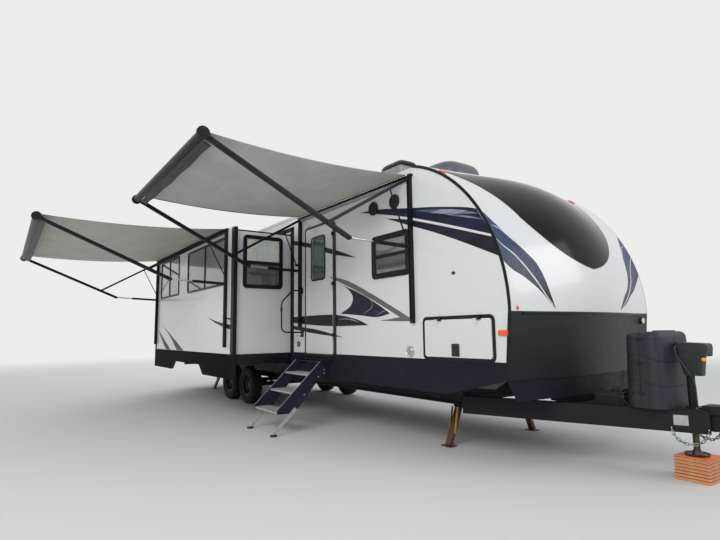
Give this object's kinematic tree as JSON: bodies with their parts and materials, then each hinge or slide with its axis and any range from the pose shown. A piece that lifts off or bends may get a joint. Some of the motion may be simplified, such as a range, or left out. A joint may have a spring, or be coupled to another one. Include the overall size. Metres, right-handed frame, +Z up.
{
  "type": "travel caravan",
  "caption": "Long travel caravan with a curved front cap, slide-out, two awnings, entry door with fold-up steps, tandem wheels, tongue jack and stabilisers.",
  "frame": {"origin": "on the floor under the axis of the tongue jack, on the caravan's centre plane", "axes": "+X forward to the coupler, +Y to the road side, +Z up; the entry door and the slide-out are on -Y"},
  "size_m": [11.35, 5.948, 3.51],
  "materials": {
    "wall_white": "gel coat, smooth",
    "skirt_charcoal": "satin paint",
    "cap_black": "polished",
    "screen_dark": "dark glossy",
    "trim_black": "satin",
    "dark_glass": "tinted",
    "chassis_black": "black enamel",
    "galvanised": "galvanised",
    "jack_head": "textured",
    "jack_steel": "worn",
    "block_orange": "moulded",
    "cover_charcoal": "moulded",
    "roof_white": "membrane",
    "roof_gear": "moulded",
    "tyre": "rubber",
    "rim_dark": "dark metallic",
    "awning_black": "satin black",
    "awning_fabric": "woven, light grey underside",
    "tread_grey": "cast",
    "lamp_red": "lens",
    "lamp_amber": "lens",
    "deck_wood": "sheet floor",
    "cable_black": "matt"
  },
  "bodies": {
    "caravan": {"a_frame": "chassis_black", "awning_cloth": "awning_fabric", "awning_frame": "awning_black", "battery_box": "trim_black", "block_stack": "block_orange", "cap_lower": "cap_black", "cap_trim": "trim_black", "cap_upper": "wall_white", "chassis_rails": "chassis_black", "coupler": "chassis_black", "cross_members": "chassis_black", "door_frame": "trim_black", "floor_deck": "deck_wood", "jack_cable": "cable_black", "jack_head": "jack_head", "jack_tube": "chassis_black", "marker_lamps": "lamp_amber", "rear_bumper": "chassis_black", "rear_wall": "wall_white", "roof": "roof_white", "roof_gear": "roof_gear", "running_gear": "chassis_black", "safety_chains": "galvanised", "side_wall_curb": "wall_white", "side_wall_road": "wall_white", "skirts": "skirt_charcoal", "stabiliser_mounts": "chassis_black", "step_bracket": "chassis_black", "tail_lamps": "lamp_red", "tank_cover": "cover_charcoal", "wall_fittings": "trim_black", "window_frames": "trim_black", "window_glass": "dark_glass", "windscreen": "screen_dark"},
    "slide_out": {"slide_box": "wall_white", "slide_fascia": "wall_white", "slide_frames": "trim_black", "slide_glass": "dark_glass", "slide_awning_frame": "awning_black", "slide_awning_cloth": "awning_fabric", "slide_trim": "trim_black"},
    "entry_door": {"entry_door": "wall_white", "door_glass": "dark_glass"},
    "baggage_door": {"baggage_door": "wall_white"},
    "steps": {"step_frame": "chassis_black", "step_treads": "tread_grey"},
    "jack_leg": {"jack_leg": "jack_steel"},
    "stabiliser_front_curb": {"stabiliser_front_curb": "chassis_black"},
    "stabiliser_front_road": {"stabiliser_front_road": "chassis_black"},
    "stabiliser_rear_curb": {"stabiliser_rear_curb": "chassis_black"},
    "stabiliser_rear_road": {"stabiliser_rear_road": "chassis_black"},
    "wheel_front_curb": {"tyre_front_curb": "tyre", "rim_front_curb": "rim_dark"},
    "wheel_front_road": {"tyre_front_road": "tyre", "rim_front_road": "rim_dark"},
    "wheel_rear_curb": {"tyre_rear_curb": "tyre", "rim_rear_curb": "rim_dark"},
    "wheel_rear_road": {"tyre_rear_road": "tyre", "rim_rear_road": "rim_dark"}
  },
  "joints": [
    {"name": "slide_out_travel", "type": "slide", "parent": "caravan", "child": "slide_out", "axis": [0, 1, 0], "range_m": [0, 0.895]},
    {"name": "entry_door_hinge", "type": "hinge", "parent": "caravan", "child": "entry_door", "pos_m": [-3.88, -1.243, 1.9], "axis": [0, 0, 1], "range_deg": [0, 170]},
    {"name": "baggage_door_hinge", "type": "hinge", "parent": "caravan", "child": "baggage_door", "pos_m": [-1.583, -1.243, 1.39], "axis": [-1, 0, 0], "range_deg": [0, 100]},
    {"name": "steps_hinge", "type": "hinge", "parent": "caravan", "child": "steps", "pos_m": [-4.3, -1.33, 0.88], "axis": [-1, 0, 0], "range_deg": [0, 130]},
    {"name": "jack_leg_travel", "type": "slide", "parent": "caravan", "child": "jack_leg", "axis": [0, 0, 1], "range_m": [0, 0.13]},
    {"name": "stabiliser_front_curb_hinge", "type": "hinge", "parent": "caravan", "child": "stabiliser_front_curb", "pos_m": [-2.22, -0.56, 0.44], "axis": [-1, 0, 0], "range_deg": [0, 50]},
    {"name": "stabiliser_front_road_hinge", "type": "hinge", "parent": "caravan", "child": "stabiliser_front_road", "pos_m": [-2.22, 0.56, 0.44], "axis": [1, 0, 0], "range_deg": [0, 50]},
    {"name": "stabiliser_rear_curb_hinge", "type": "hinge", "parent": "caravan", "child": "stabiliser_rear_curb", "pos_m": [-9.9, -0.56, 0.44], "axis": [-1, 0, 0], "range_deg": [0, 50]},
    {"name": "stabiliser_rear_road_hinge", "type": "hinge", "parent": "caravan", "child": "stabiliser_rear_road", "pos_m": [-9.9, 0.56, 0.44], "axis": [1, 0, 0], "range_deg": [0, 50]},
    {"name": "wheel_front_curb_spin", "type": "hinge", "parent": "caravan", "child": "wheel_front_curb", "pos_m": [-7, -1.08, 0.345], "axis": [0, 1, 0], "continuous": true},
    {"name": "wheel_front_road_spin", "type": "hinge", "parent": "caravan", "child": "wheel_front_road", "pos_m": [-7, 1.08, 0.345], "axis": [0, 1, 0], "continuous": true},
    {"name": "wheel_rear_curb_spin", "type": "hinge", "parent": "caravan", "child": "wheel_rear_curb", "pos_m": [-7.87, -1.08, 0.345], "axis": [0, 1, 0], "continuous": true},
    {"name": "wheel_rear_road_spin", "type": "hinge", "parent": "caravan", "child": "wheel_rear_road", "pos_m": [-7.87, 1.08, 0.345], "axis": [0, 1, 0], "continuous": true}
  ]
}
